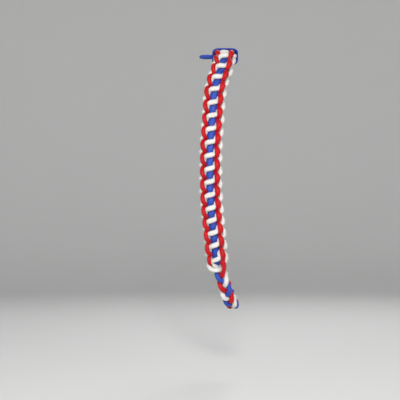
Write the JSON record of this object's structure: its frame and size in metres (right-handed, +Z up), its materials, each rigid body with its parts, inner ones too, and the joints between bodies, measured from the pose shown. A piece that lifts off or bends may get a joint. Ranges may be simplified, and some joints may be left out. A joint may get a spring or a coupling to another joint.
{
  "type": "aiguillette",
  "caption": "Red, white and blue braided shoulder cord: a wide braid down the front of the arm hole, then a thin plait under the arm and up the back to a loop for the shoulder button.",
  "frame": {"origin": "middle of the button loop's eye, where the cord hangs from the shoulder button", "axes": "+Z up as worn, -Y to the wearer's front, +X towards the end of the wearer's left shoulder"},
  "size_m": [0.0513, 0.1621, 0.3416],
  "materials": {
    "white_cord": "satin braided cord",
    "red_cord": "satin braided cord",
    "blue_cord": "satin braided cord",
    "binding": "wound thread"
  },
  "bodies": {
    "root": {"button_loop": "binding", "braid_white_1": "white_cord", "braid_white_2": "white_cord", "braid_red_left": "red_cord", "braid_red_right": "red_cord", "braid_blue": "blue_cord", "plait_white": "white_cord", "plait_red": "red_cord", "plait_blue": "blue_cord"}
  },
  "joints": []
}
